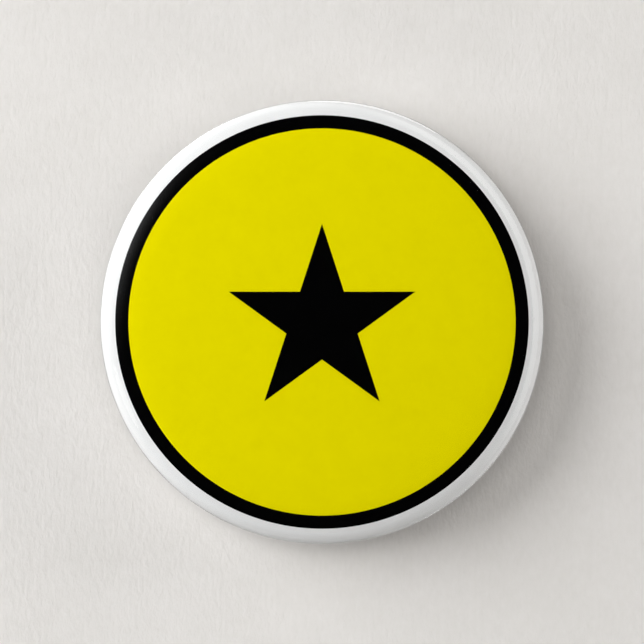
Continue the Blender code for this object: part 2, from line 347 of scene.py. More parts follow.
def combined(parts, cuts=()):
    """One bmesh: the union of parts, with cuts taken out."""
    scratch = []
    for i, bm in enumerate([*parts, *cuts]):
        bmesh.ops.recalc_face_normals(bm, faces=bm.faces)
        mesh = bpy.data.meshes.new("scratch")
        bm.to_mesh(mesh)
        bm.free()
        scratch.append(bpy.data.objects.new(f"scratch_{i}", mesh))
        bpy.context.collection.objects.link(scratch[-1])
    whole = scratch[0]
    for i, other in enumerate(scratch[1:], start=1):
        modifier = whole.modifiers.new("join", "BOOLEAN")
        modifier.operation = "UNION" if i < len(parts) else "DIFFERENCE"
        modifier.solver = "EXACT"
        modifier.object = other
    bpy.context.view_layer.update()
    result = bmesh.new()
    result.from_object(whole, bpy.context.evaluated_depsgraph_get())
    for item in scratch:
        mesh = item.data
        bpy.data.objects.remove(item)
        bpy.data.meshes.remove(mesh)
    return result


def arc_points(centre, radius, first, last, steps):
    """Points (x, y) on an arc, in degrees from +X."""
    points = []
    for i in range(steps + 1):
        a = radians(first + (last - first) * i / steps)
        points.append((centre[0] + radius * cos(a), centre[1] + radius * sin(a)))
    return points


# ---------------------------------------------------------------- node tools


class Nodes:
    """A material's or a world's node tree. add() makes a node, sets or links its inputs and gives the node.

    The other calls make what is often needed, and give its output.
    """

    def __init__(self, owner):
        """Start the tree of a new material, if owner is its name, or of a world."""
        self.owner = bpy.data.materials.new(owner) if isinstance(owner, str) else owner
        self.owner.use_nodes = True
        self.tree = self.owner.node_tree
        self.tree.nodes.clear()

    def add(self, kind, settings=None, **inputs):
        node = self.tree.nodes.new("ShaderNode" + kind)
        for key, value in (settings or {}).items():
            setattr(node, key, value)
        for key, value in inputs.items():
            self.feed(node, key.replace("_", " "), value)
        return node

    def feed(self, node, socket, value):
        """Set or link an input, given by its name or, as i0 or i1, by its number."""
        socket = int(socket[1:]) if socket[0] == "i" and socket[1:].isdigit() else socket
        target = node.inputs[socket]
        if isinstance(value, bpy.types.NodeSocket):
            self.tree.links.new(value, target)
        else:
            target.default_value = value

    def place(self, stretch=(1, 1, 1), turn=(0, 0, 0)):
        """Object coordinates in millimetres, stretched and turned."""
        coords = self.add("TexCoord").outputs["Object"]
        scale = [s / MM for s in stretch]
        return self.add("Mapping", Vector=coords, Scale=scale, Rotation=[radians(a) for a in turn]).outputs[0]

    def noise(self, where, scale, detail=3.0, roughness=0.5, distortion=0.0):
        inputs = {"Vector": where, "Scale": scale, "Detail": detail}
        inputs |= {"Roughness": roughness, "Distortion": distortion}
        return self.add("TexNoise", **inputs).outputs["Fac"]

    def ramp(self, value, low, high, to_low=0.0, to_high=1.0, smooth=False):
        settings = {"interpolation_type": "SMOOTHSTEP" if smooth else "LINEAR"}
        node = self.add("MapRange", settings, Value=value)
        limits = {"From Min": low, "From Max": high, "To Min": to_low, "To Max": to_high}
        for socket, number in limits.items():
            node.inputs[socket].default_value = number
        return node.outputs[0]

    def math(self, operation, a, b=0.0):
        return self.add("Math", {"operation": operation}, i0=a, i1=b).outputs[0]

    def mix(self, factor, a, b):
        node = self.add("Mix", {"data_type": "RGBA"})
        self.feed(node, "i0", factor)
        self.feed(node, "i6", a)
        self.feed(node, "i7", b)
        return node.outputs[2]

    def bump(self, height, distance, strength=1.0, before=None):
        node = self.add("Bump", Height=height, Distance=distance * MM, Strength=strength)
        if before:
            self.feed(node, "Normal", before)
        return node.outputs[0]

    def finish(self, shader):
        self.add("OutputMaterial", Surface=shader)
        return self.owner

    def principled(self, **inputs):
        return self.finish(self.add("BsdfPrincipled", **inputs).outputs[0])


def grey(value):
    return (value, value, value, 1.0)


def tone(colour, factor):
    return (*[c * factor for c in colour], 1.0)


# ---------------------------------------------------------------- materials


def ink_material(name, colour, mottle, roughness=0.85):
    """Ink, or the bare coat, on coated paper: faint mottling, fine fibres under it."""
    n = Nodes(name)
    where = n.place()
    clouds = n.noise(where, 0.35, detail=4.0)
    grains = n.noise(where, 9.0, detail=2.0)
    shade = n.ramp(n.math("ADD", clouds, grains), 0.7, 1.3)
    fibres = n.noise(n.place(stretch=(1, 1, 3)), 5.0, detail=4.0, distortion=0.6)
    base = n.mix(shade, tone(colour, 1 - mottle), tone(colour, 1 + mottle / 2))
    rough = n.ramp(grains, 0.3, 0.7, roughness - 0.08, roughness + 0.05)
    normal = n.bump(fibres, 0.004)
    return n.principled(Base_Color=base, Roughness=rough, Normal=normal, Specular_IOR_Level=0.0)


def film_material():
    """Clear gloss polyester: it lets the artwork through, and mirrors more the flatter it is seen."""
    n = Nodes("clear gloss film")
    facing = n.add("LayerWeight", Blend=0.5).outputs["Facing"]
    grazing = n.math("POWER", facing, 5.0)
    mirror = n.math("ADD", n.math("MULTIPLY", grazing, 0.45), 0.045)
    where = n.place()
    waves = n.noise(where, 0.22, detail=2.0)
    specks = n.noise(where, 3.5, detail=3.0)
    hairs = n.noise(n.place(stretch=(0.25, 1, 9), turn=(0, 35, 0)), 2.2, detail=5.0, roughness=0.7)
    marks = n.ramp(hairs, 0.62, 0.72, smooth=True)
    normal = n.bump(waves, 0.02, before=n.bump(marks, 0.0015, before=n.bump(specks, 0.0012)))
    gloss = n.add("BsdfGlossy", Color=grey(1.0), Roughness=0.05, Normal=normal)
    clear = n.add("BsdfTransparent", Color=grey(0.99))
    return n.finish(n.add("MixShader", i0=mirror, i1=clear.outputs[0], i2=gloss.outputs[0]).outputs[0])


def film_inside_material():
    """The film's inner side, which only lets the artwork through."""
    n = Nodes("clear film inside")
    return n.finish(n.add("BsdfTransparent", Color=grey(1.0)).outputs[0])


def tinplate_material(name, colour, roughness, grain_turn=0.0):
    """Bright rolled tinplate: parallel grain, the tin's flow marks, hairlines and a few deeper scratches."""
    n = Nodes(name)
    where = n.place()
    rolled = n.noise(n.place(stretch=(0.12, 1, 6), turn=(0, grain_turn, 0)), 4.0, detail=6.0, roughness=0.65)
    flow = n.noise(n.place(stretch=(0.25, 1, 1), turn=(0, grain_turn, 0)), 0.5, detail=5.0, roughness=0.6)
    waves = n.noise(where, 0.16, detail=2.0)
    across = n.place(stretch=(0.3, 1, 16), turn=(0, grain_turn + 58, 0))
    fine = n.noise(across, 1.6, detail=4.0, roughness=0.75)
    askew = n.place(stretch=(0.15, 1, 9), turn=(0, grain_turn - 24, 0))
    deep = n.noise(askew, 0.9, detail=3.0, roughness=0.6)
    hairlines = n.ramp(fine, 0.60, 0.68, smooth=True)
    scratches = n.ramp(deep, 0.70, 0.74, smooth=True)
    base = n.mix(n.ramp(flow, 0.35, 0.65), tone(colour, 0.95), tone(colour, 1.03))
    marked = n.math("ADD", n.math("MULTIPLY", hairlines, 0.05), n.math("MULTIPLY", scratches, 0.10))
    rough = n.math("ADD", n.ramp(rolled, 0.3, 0.7, roughness - 0.05, roughness + 0.07), marked)
    normal = n.bump(waves, 0.05, before=n.bump(rolled, 0.004))
    cuts = n.math("ADD", n.math("MULTIPLY", hairlines, 0.5), scratches)
    normal = n.bump(n.math("SUBTRACT", 0.0, cuts), 0.0025, before=normal)
    return n.principled(Base_Color=base, Metallic=1.0, Roughness=rough, Normal=normal)


def nickel_material():
    """Nickel plate over stamped steel: warm, glossy, with pits and rubbed streaks."""
    n = Nodes("nickel plate")
    where = n.place()
    pits = n.noise(where, 7.0, detail=3.0)
    streaks = n.noise(n.place(stretch=(0.5, 4, 4)), 3.0, detail=5.0, roughness=0.6)
    clouds = n.noise(where, 0.5, detail=3.0)
    base = n.mix(n.ramp(clouds, 0.35, 0.65), (0.62, 0.585, 0.53, 1), (0.74, 0.715, 0.67, 1))
    rough = n.math("ADD", n.ramp(streaks, 0.3, 0.7, 0.12, 0.24), n.ramp(pits, 0.6, 0.75, 0.0, 0.12))
    normal = n.bump(streaks, 0.004, before=n.bump(pits, 0.004))
    return n.principled(Base_Color=base, Metallic=1.0, Roughness=rough, Normal=normal)


def needle_material():
    """Drawn and polished steel, with fine lines along the wire."""
    n = Nodes("polished needle steel")
    lines = n.noise(n.place(stretch=(0.08, 9, 9)), 2.5, detail=4.0)
    clouds = n.noise(n.place(), 0.4, detail=3.0)
    base = n.mix(n.ramp(clouds, 0.35, 0.65), (0.58, 0.58, 0.59, 1), (0.68, 0.68, 0.69, 1))
    rough = n.ramp(lines, 0.3, 0.7, 0.10, 0.22)
    return n.principled(Base_Color=base, Metallic=1.0, Roughness=rough, Normal=n.bump(lines, 0.003))


def rivet_material():
    """Plated rivet steel with the rings that setting it leaves."""
    n = Nodes("rivet steel")
    where = n.place()
    round_axis = {"wave_type": "RINGS", "rings_direction": "Y"}
    rings = n.add("TexWave", round_axis, Vector=where, Scale=1.6, Distortion=1.5)
    clouds = n.noise(where, 1.4, detail=4.0)
    base = n.mix(n.ramp(clouds, 0.35, 0.65), (0.52, 0.51, 0.49, 1), (0.66, 0.64, 0.61, 1))
    rough = n.ramp(clouds, 0.3, 0.7, 0.20, 0.36)
    normal = n.bump(rings.outputs["Fac"], 0.006, before=n.bump(clouds, 0.01))
    return n.principled(Base_Color=base, Metallic=1.0, Roughness=rough, Normal=normal)


def not_scattered(n, path):
    """1 on a path that no matt surface has scattered yet, otherwise 0."""
    return n.math("LESS_THAN", path["Diffuse Depth"], 0.5)


def wall_material():
    """A pale, softly mottled surface behind the badge, which isn't there when seen from behind or edge on.

    The lights behind it reach the badge's back through it, but none of that light comes back onto the wall.
    """
    n = Nodes("pale wall")
    where = n.place()
    clouds = n.noise(where, 0.08, detail=4.0, roughness=0.6)
    tooth = n.noise(n.place(stretch=(1.5, 1, 0.7)), 0.9, detail=5.0, roughness=0.65)
    shade = n.ramp(n.math("ADD", clouds, tooth), 0.7, 1.3)
    base = n.mix(shade, (0.835, 0.81, 0.78, 1), (0.885, 0.86, 0.835, 1))
    normal = n.bump(tooth, 0.13)
    pale = n.add("BsdfDiffuse", Color=base, Roughness=0.6, Normal=normal)
    behind = n.add("NewGeometry").outputs["Backfacing"]
    edge_on = n.ramp(n.add("LayerWeight", Blend=0.5).outputs["Facing"], 0.70, 0.84)
    path = n.add("LightPath").outputs
    back_light = n.math("MULTIPLY", path["Is Shadow Ray"], not_scattered(n, path))
    gone = n.math("MAXIMUM", n.math("MAXIMUM", behind, edge_on), back_light)
    nothing = n.add("BsdfTransparent")
    return n.finish(n.add("MixShader", i0=gone, i1=pale.outputs[0], i2=nothing.outputs[0]).outputs[0])


def floor_material():
    """A pale floor far below, evenly lit whatever side it's seen from."""
    n = Nodes("pale floor")
    clouds = n.noise(n.place(), 0.02, detail=4.0)
    base = n.mix(n.ramp(clouds, 0.3, 0.7), (0.675, 0.665, 0.65, 1), (0.695, 0.685, 0.67, 1))
    return n.finish(n.add("Emission", Color=base, Strength=1.0).outputs[0])


# ---------------------------------------------------------------- the face


def face_arcs():
    """The bends of the face, from the crown over the shoulder to the end of the rolled edge."""
    dome_angle = asin(DOME_EDGE / DOME_RADIUS)
    dome_centre_y = CROWN_Y + DOME_RADIUS
    turn_r = (DOME_RADIUS - TURN_RADIUS) * sin(dome_angle)
    turn_y = dome_centre_y - (DOME_RADIUS - TURN_RADIUS) * cos(dome_angle)
    turn_angle = asin((SHOULDER_EDGE - turn_r) / TURN_RADIUS)
    shoulder_radius = (BADGE_RADIUS - SHOULDER_EDGE) / (1 - sin(turn_angle))
    shoulder_r = BADGE_RADIUS - shoulder_radius
    shoulder_y = turn_y - (TURN_RADIUS - shoulder_radius) * cos(turn_angle)
    dome_end = degrees(dome_angle)
    turn_end = degrees(turn_angle)
    curl_r = BADGE_RADIUS - CURL_RADIUS
    curl_y = CURL_BACK_Y - CURL_RADIUS
    return [
        (0, dome_centre_y, DOME_RADIUS, 0, dome_end, 8),
        (turn_r, turn_y, TURN_RADIUS, dome_end, turn_end, 8),
        (shoulder_r, shoulder_y, shoulder_radius, turn_end, 90, 8),
        (curl_r, curl_y, CURL_RADIUS, 90, 270, 20),
    ]


FACE_ARCS = face_arcs()


def face_y(r, depth):
    """Where the face lies at a radius on its dome or its turn."""
    dome, turn = FACE_ARCS[0], FACE_ARCS[1]
    centre_r, centre_y, radius = dome[:3] if r < DOME_EDGE - depth * DOME_EDGE / DOME_RADIUS else turn[:3]
    reach = radius - depth
    return centre_y - sqrt(reach**2 - (r - centre_r) ** 2)


def pleat(theta, point):
    """How far the film and the paper bunch up where they are gathered round the rolled edge.

    Each wave gives two narrow folds, with a fine ripple over them, and slower waves make them uneven.
    """
    progress = (point[2] - GATHER_START) / GATHER_GROWTH
    if progress <= 0:
        return 0.0
    grown = min(1.0, progress)
    wander = 2.1 * sin(3 * theta + 0.4) + 1.6 * sin(7 * theta + 2.0) + 0.9 * sin(16 * theta + 4.4)
    fold = 1 - abs(sin(FOLD_WAVES * theta + wander))
    ripple = 0.5 + 0.5 * sin(RIPPLE_WAVES * theta + 2.5 * wander)
    uneven = 0.7 + 0.3 * sin(5 * theta + 1.3) * sin(11 * theta + 0.2)
    return grown * uneven * (FOLD_HEIGHT * fold**3 + RIPPLE_HEIGHT * ripple - RIPPLE_HEIGHT)


def make_film(materials):
    bm = bmesh.new()
    outer = bends(FACE_ARCS, 0)
    inner = bends(FACE_ARCS, FILM_THICKNESS)
    turn_about_y(bm, outer, RIM_SEGMENTS, lift=pleat, material=0)
    turn_about_y(bm, [outer[-1], inner[-1]], RIM_SEGMENTS, lift=pleat, material=0)
    turn_about_y(bm, inner[::-1], RIM_SEGMENTS, lift=pleat, material=1)
    bmesh.ops.remove_doubles(bm, verts=bm.verts, dist=WELD)
    return make_piece("film_skin", bm, "badge", "clear_film", materials)


def star_outline(steps=8):
    """The star's points (x, z), close enough together to follow the dome."""
    corners = []
    for i in range(2 * STAR_POINTS):
        a = radians(90 + 180 / STAR_POINTS * i)
        reach = STAR_NOTCH if i % 2 else STAR_RADIUS
        corners.append((reach * cos(a), reach * sin(a)))
    outline = []
    for (x0, z0), (x1, z1) in zip(corners, corners[1:] + corners[:1]):
        outline += [(x0 + (x1 - x0) * i / steps, z0 + (z1 - z0) * i / steps) for i in range(steps)]
    return outline


def artwork_triangles(spacing=1.6, row_share=0.866):
    """The artwork's disc as points (x, z) and triangles, each with whether the star's ink covers it.

    Between the star and the finer rings at the rim lies a grid, with every other row half a step across.
    """
    inside_edges, same_place = 1, 1e-5
    rim = arc_points((0, 0), RING_INSIDE, 0, 360, RIM_SEGMENTS)[:-1]
    star = star_outline()
    points = rim + star
    edges = [(i, (i + 1) % len(rim)) for i in range(len(rim))]
    star_face = list(range(len(rim), len(points)))
    for inset, count in ((0.35, RIM_SEGMENTS // 2), (1.0, RIM_SEGMENTS // 4)):
        points += arc_points((0, 0), RING_INSIDE - inset, 0.5, 360.5, count)[:-1]
    rows = int(RING_INSIDE / spacing) + 1
    for row in range(-rows, rows + 1):
        for column in range(-rows, rows + 1):
            x = (column + 0.5 * (row % 2)) * spacing
            z = row * spacing * row_share
            near_ink = any(hypot(x - px, z - pz) < spacing * 0.4 for px, pz in star)
            if hypot(x, z) < RING_INSIDE - spacing and not near_ink:
                points.append((x, z))
    flat = [Vector(p) for p in points]
    found = delaunay_2d_cdt(flat, edges, [star_face], inside_edges, same_place)
    places, triangles, origins = found[0], found[2], found[5]
    return places, [(triangle, bool(origin)) for triangle, origin in zip(triangles, origins)]


def make_paper(materials):
    """The printed paper. Its outer side is cut into inked and plain faces along the artwork's edges.

    The ring's two edges are points of their own on the outline, and the other points keep clear of them.
    """
    yellow, black, white = range(3)
    bm = bmesh.new()
    points, triangles = artwork_triangles()
    verts = [bm.verts.new((x, face_y(hypot(x, z), PAPER_DEPTH), z)) for x, z in points]
    for triangle, inked in triangles:
        bm.faces.new([verts[i] for i in triangle]).material_index = black if inked else yellow
    outer = bends(FACE_ARCS, PAPER_DEPTH)
    inner = bends(FACE_ARCS, PAPER_DEPTH + PAPER_THICKNESS)
    slope, clearance = 15.0, 0.05
    start, end = [(r, face_y(r, PAPER_DEPTH), slope) for r in (RING_INSIDE, RING_OUTSIDE)]
    low, high = RING_INSIDE + clearance, RING_OUTSIDE - clearance
    ring = [start] + [p for p in outer if low < p[0] < high and p[2] < 90] + [end]
    margin = [end] + [p for p in outer if p[0] > RING_OUTSIDE + clearance or p[2] > 90]
    turn_about_y(bm, ring, RIM_SEGMENTS, material=black)
    turn_about_y(bm, margin, RIM_SEGMENTS, lift=pleat, material=white)
    turn_about_y(bm, [outer[-1], inner[-1]], RIM_SEGMENTS, lift=pleat, material=white)
    turn_about_y(bm, inner[::-1], RIM_SEGMENTS, lift=pleat, material=white)
    bmesh.ops.remove_doubles(bm, verts=bm.verts, dist=WELD)
    return make_piece("printed_paper", bm, "badge", "artwork_paper", materials)


def make_shell(material):
    bm = bmesh.new()
    outer = bends(FACE_ARCS, SHELL_DEPTH)
    inner = bends(FACE_ARCS, SHELL_DEPTH + SHELL_THICKNESS)
    turn_about_y(bm, outer + inner[::-1], ROUND_SEGMENTS)
    return make_piece("tin_shell", bm, "badge", "front_shell", [material])


# ---------------------------------------------------------------- the back plate


def plate_profile(depth, floor_steps=14):
    """Half the plate's outline, depth inside its rear side, from the axis to the flange's edge."""
    slope = radians(STEP_SLOPE)
    bend_rise = 2 * STEP_RADIUS * (1 - cos(slope))
    step_run = 2 * STEP_RADIUS * sin(slope) + (-FLOOR_Y - bend_rise) / tan(slope)
    step_r = LAND_EDGE - step_run
    arcs = [
        (step_r, FLOOR_Y + STEP_RADIUS, -STEP_RADIUS, 180, 180 + STEP_SLOPE, 6),
        (LAND_EDGE, -STEP_RADIUS, STEP_RADIUS, 180 + STEP_SLOPE, 180, 6),
        (PLATE_WALL - WALL_BEND, -WALL_BEND, WALL_BEND, 180, 90, 8),
        (PLATE_WALL + FLANGE_BEND, FLANGE_Y + FLANGE_BEND, -FLANGE_BEND, 90, 180, 5),
    ]
    floor = [(step_r * i / floor_steps, FLOOR_Y - depth, 180) for i in range(floor_steps)]
    return floor + bends(arcs, depth) + [(FLANGE_EDGE, FLANGE_Y - depth, 180)]


def make_back_plate(material):
    bm = bmesh.new()
    turn_about_y(bm, plate_profile(0) + plate_profile(PLATE_THICKNESS)[::-1], ROUND_SEGMENTS)
    holes = []
    for x in (-BAR_RIVET_X, BAR_RIVET_X):
        hole = bore(RIVET_HOLE, FLOOR_Y - 1, FLOOR_Y + 1, "Y")
        holes.append(shifted(hole, x, 0, PIN_Z))
    bm = combined([bm], holes)
    return make_piece("pressed_back", bm, "badge", "back_plate", [material], sharp=50)


# ---------------------------------------------------------------- the pin


def bar_outline():
    """The bar from above: a wide middle, a narrow strip under the hinge and another under the catch."""
    end, hollow, shoulder = 0.6, 0.5, 1.0  # the radii of its corners
    hinge_hollow_x = -BAR_SHOULDER - 1.7
    catch_hollow_x = BAR_SHOULDER + 1.6
    shoulder_x = BAR_SHOULDER - 0.1
    left, right = BAR_LOW[0], BAR_HIGH[0]
    upper = arc_points((left + end, HINGE_STRIP_HALF_WIDTH - end), end, 180, 90, 6)
    upper += arc_points((hinge_hollow_x, HINGE_STRIP_HALF_WIDTH + hollow), hollow, 270, 330, 5)
    upper += arc_points((-shoulder_x, BAR_HALF_WIDTH - shoulder), shoulder, 150, 90, 8)
    upper += arc_points((shoulder_x, BAR_HALF_WIDTH - shoulder), shoulder, 90, 40, 8)
    upper += arc_points((catch_hollow_x, CATCH_STRIP_HALF_WIDTH + hollow), hollow, 220, 270, 5)
    upper += arc_points((right - end, CATCH_STRIP_HALF_WIDTH - end), end, 90, 0, 6)
    return upper + [(x, -z) for x, z in reversed(upper)]


def ear_outline(foot):
    """A hinge ear from the side, with its round top about the pivot and a flared foot."""
    foot_x = EAR_RADIUS + 0.35
    waist_x = EAR_RADIUS + 0.05
    waist = foot + 0.75
    top = arc_points((0, 0), EAR_RADIUS, 0, 180, 24)
    return [(-foot_x, foot), (foot_x, foot), (waist_x, waist)] + top + [(-waist_x, waist)]


def split_ring(inside, outside, first, last, x, steps=56, cap_steps=6):
    """A section of an open ring about X, from first to last degrees from +Y towards +Z, with round ends."""
    middle = (inside + outside) / 2
    half = (outside - inside) / 2
    inset = degrees(half / middle)
    start, end = first + inset, last - inset

    def on(radius, angle):
        return (x, radius * cos(radians(angle)), radius * sin(radians(angle)))

    def cap(angle, outward):
        points = []
        for i in range(1, cap_steps):
            a = pi * i / cap_steps
            points.append(on(middle + outward * half * cos(a), angle + outward * inset * sin(a)))
        return points

    outer = [on(outside, start + (end - start) * i / steps) for i in range(steps + 1)]
    inner = [on(inside, end + (start - end) * i / steps) for i in range(steps + 1)]
    return outer + cap(end, 1) + inner + cap(start, -1)


def rounded_lengths(half, edge, steps=4):
    """(x, inset) at the left and at the right end of a tube of half length, both rounded by edge."""
    right = []
    for i in range(steps + 1):
        a = pi / 2 * i / steps
        right.append((half - edge + edge * sin(a), edge - edge * cos(a)))
    left = [(-x, inset) for x, inset in reversed(right)]
    return left, right


def housing():
    """The catch's open housing about its own axis: a rolled sheet with a window for the thumb tab."""
    slot_angle = degrees(asin(HOUSING_SLOT / 2 / HOUSING_INSIDE))
    wide_start = WINDOW_END
    wide_end = 360 + WINDOW_START
    half_window = WINDOW_LENGTH / 2
    corner_steps = 8
    left, right = rounded_lengths(HOUSING_LENGTH / 2, HOUSING_EDGE)

    def limits(x):
        """The open ring's limits at x, wider in the window, with round corners."""
        t = max(0.0, min(1.0, (half_window + WINDOW_CORNER - abs(x)) / WINDOW_CORNER))
        t = sqrt(max(0.0, 1 - (1 - t) ** 2))
        first = slot_angle + (wide_start - slot_angle) * t
        last = 360 - slot_angle + (wide_end - 360 + slot_angle) * t
        return first, last

    places = list(left)
    inner_xs = [half_window + WINDOW_CORNER * (1 - i / corner_steps) for i in range(corner_steps + 1)]
    places += [(-x, 0.0) for x in inner_xs] + [(x, 0.0) for x in reversed(inner_xs)]
    places += right
    sections = []
    for x, inset in places:
        first, last = limits(x)
        sections.append(split_ring(HOUSING_INSIDE + inset, HOUSING_OUTSIDE - inset, first, last, x))
    return loft(sections)


def hinge_ear(low, high, axis_height):
    """An ear from low to high along the hinge's axis, with its foot sunk in the bar."""
    foot = BAR_THICKNESS - EAR_SINK - axis_height
    return shifted(prism(ear_outline(foot), low, high, edge=EAR_EDGE), HINGE[0], axis_height, 0)


def catch_neck(axis_height):
    """What holds the housing above the bar. It narrows towards the housing."""
    half = HOUSING_LENGTH / 2 - NECK_INSET
    foot = BAR_THICKNESS - NECK_SINK
    top = axis_height - (HOUSING_INSIDE + HOUSING_OUTSIDE) / 2
    outline = [(-NECK_FOOT, foot), (NECK_FOOT, foot), (NECK_HEAD, top), (-NECK_HEAD, top)]
    neck = prism(outline, -half, half, edge=NECK_EDGE)
    return moved(neck, lambda x, y, z: (z + CATCH[0], y, x))


def make_pin_bar(material):
    """The stamped bar. Its origin is at its underside, on the badge's middle and at the pin's height."""
    underside = BAR_LOW[1]
    axis_height = HINGE[1] - underside
    strip = moved(prism(bar_outline(), 0, BAR_THICKNESS, edge=BAR_EDGE), lambda x, y, z: (x, z, y))
    upper_ear = hinge_ear(EAR_INSIDE, EAR_OUTSIDE, axis_height)
    lower_ear = hinge_ear(-EAR_OUTSIDE, -EAR_INSIDE, axis_height)
    catch = shifted(housing(), CATCH[0], axis_height, 0)
    cuts = [shifted(bore(PIVOT_HOLE, -2, 2, "Z", PIVOT_SEGMENTS), HINGE[0], axis_height, 0)]
    for x in (-BAR_RIVET_X, BAR_RIVET_X):
        cuts.append(shifted(bore(RIVET_HOLE, -1, 2, "Y"), x, 0, 0))
    bm = combined([strip, upper_ear, lower_ear, catch_neck(axis_height), catch], cuts)
    place = (0, underside, PIN_Z)
    return make_piece("stamped_bar", bm, "badge", "pin_bar", [material], place, sharp=40)


def oval(x, half_y, half_z, power, count=48):
    """A section across X that goes from an ellipse at power 2 to a soft rectangle at more."""
    points = []
    for i in range(count):
        a = 2 * pi * i / count
        c, s = cos(a), sin(a)
        y = half_y * abs(c) ** (2 / power) * (1 if c >= 0 else -1)
        z = half_z * abs(s) ** (2 / power) * (1 if s >= 0 else -1)
        points.append((x, y, z))
    return points


def needle_wire(blend_steps=12, point_steps=20):
    """The wire beyond the eye: flat where it leaves the eye, then round, then drawn to a point."""
    half = EYE_THICKNESS / 2 - SHANK_SINK
    sections = []
    for i in range(blend_steps + 1):
        t = i / blend_steps
        blend = t * t * (3 - 2 * t)
        across = SHANK_HALF_WIDTH + (NEEDLE_RADIUS - SHANK_HALF_WIDTH) * blend
        thick = half + (NEEDLE_RADIUS - half) * blend
        power = 3.6 - 1.6 * blend
        sections.append(oval(SHANK_START + SHANK_BLEND * t, across, thick, power))
    taper_start = NEEDLE_LENGTH - NEEDLE_TAPER
    sections.append(oval(taper_start, NEEDLE_RADIUS, NEEDLE_RADIUS, 2))
    for i in range(1, point_steps):
        t = i / point_steps
        radius = NEEDLE_RADIUS * (1 - t) ** POINT_POWER
        sections.append(oval(taper_start + NEEDLE_TAPER * t, radius, radius, 2))
    sections.append(oval(NEEDLE_LENGTH - POINT_BLUNT, POINT_RADIUS, POINT_RADIUS, 2))
    return loft(sections)


def needle_eye(corner_steps=5):
    """The flattened ring round the rivet, with all its corners rounded."""
    half = EYE_THICKNESS / 2
    edge = EYE_EDGE
    outside, inside = EYE_RING_RADIUS - edge, PIVOT_HOLE + edge
    low, high = -half + edge, half - edge
    turns = [pi / 2 * i / corner_steps for i in range(corner_steps + 1)]
    profile = [(outside + edge * sin(a), low - edge * cos(a)) for a in turns]
    profile += [(outside + edge * cos(a), high + edge * sin(a)) for a in turns]
    profile += [(inside - edge * sin(a), high + edge * cos(a)) for a in turns]
    profile += [(inside - edge * cos(a), low - edge * sin(a)) for a in turns]
    return spun(profile, "Z", SMALL_SEGMENTS)


def make_needle(material):
    """The needle along +X from its hinge: a flattened, pierced eye, a round shank and a long point."""
    bm = combined([needle_wire(), needle_eye()])
    return make_piece("sprung_needle", bm, "needle", "pin_needle", [material], HINGE)


def make_catch_roller(material):
    """The slotted roller with its thumb tab, about its own axis, turned to let the needle out."""
    left, right = rounded_lengths(ROLLER_LENGTH / 2, ROLLER_EDGE)
    slot_angle = degrees(asin(ROLLER_SLOT / 2 / ROLLER_OUTSIDE)) + ROLLER_SLOT_FLARE
    sections = []
    for x, inset in left + right:
        ring = split_ring(ROLLER_BORE + inset, ROLLER_OUTSIDE - inset, slot_angle, 360 - slot_angle, x)
        sections.append(ring)
    half_width = TAB_WIDTH / 2
    foot = (ROLLER_BORE + ROLLER_OUTSIDE) / 2
    outline = [(-half_width * TAB_FOOT_SHARE, foot), (half_width * TAB_FOOT_SHARE, foot)]
    outline += arc_points((0, TAB_REACH - half_width), half_width, 0, 180, 20)
    tab = prism(outline, -TAB_THICKNESS / 2, TAB_THICKNESS / 2, edge=ROLLER_EDGE, steps=4)
    c, s = cos(radians(TAB_ANGLE)), sin(radians(TAB_ANGLE))
    bm = combined([loft(sections), moved(tab, lambda x, y, z: (x, y * c - z * s, y * s + z * c))])
    return make_piece("slotted_roller", bm, "catch", "catch_roller", [material], CATCH)


def head(radius, height, base, up, steps=9):
    """A domed rivet head's profile from its rim to the axis, on top of a short straight rim."""
    rim = HEAD_RIM_SHARE * height
    points = [(radius, base), (radius, base + up * rim)]
    for i in range(1, steps + 1):
        a = pi / 2 * i / steps
        points.append((radius * cos(a), base + up * (rim + (height - rim) * sin(a))))
    return points[:-1] + [(0, base + up * height)]


def make_rivet(name, replaced, material, location, axis, shank, low, high, low_head, high_head):
    """A rivet that grips from low to high on its own axis, with a (radius, height) head at each end."""
    bottom = head(*low_head, low, -1)
    top = head(*high_head, high, 1)
    profile = bottom[::-1] + [(shank, low), (shank, high)] + top
    bm = spun(profile, axis, SMALL_SEGMENTS)
    return make_piece(name, bm, "badge", replaced, [material], location)


def make_rivets(material):
    """The hinge's rivet across the two ears, and the two that hold the bar to the back plate."""
    grip = EAR_OUTSIDE + BAR_GAP
    heads = (HINGE_HEAD, HINGE_HEAD)
    make_rivet("hinge_rivet_set", "hinge_rivet", material, HINGE, "Z", HINGE_SHANK, -grip, grip, *heads)
    low = FLOOR_Y - PLATE_THICKNESS - BAR_GAP
    high = BAR_LOW[1] + BAR_THICKNESS + BAR_GAP
    heads = (BAR_HEAD_INSIDE, BAR_HEAD_OUTSIDE)
    for label, x in (("left", -BAR_RIVET_X), ("right", BAR_RIVET_X)):
        name = f"bar_rivet_set_{label}"
        replaced = f"bar_rivet_{label}"
        make_rivet(name, replaced, material, (x, 0, PIN_Z), "Y", BAR_SHANK, low, high, *heads)


# ---------------------------------------------------------------- the stage


def make_plane(name, corners, material):
    """A flat piece of the stage, which isn't mirrored."""
    mesh = bpy.data.meshes.new(name)
    mesh.from_pydata(corners, [], [(0, 1, 2, 3)])
    mesh.materials.append(material)
    plane = bpy.data.objects.new(name, mesh)
    bpy.context.collection.objects.link(plane)
    plane.visible_glossy = False
    plane.visible_transmission = False
    return plane


def from_front(around, off_axis):
    """The direction off_axis degrees from straight in front, at around degrees from +X in the artwork."""
    away = sin(radians(off_axis))
    return (away * cos(radians(around)), -cos(radians(off_axis)), away * sin(radians(around)))


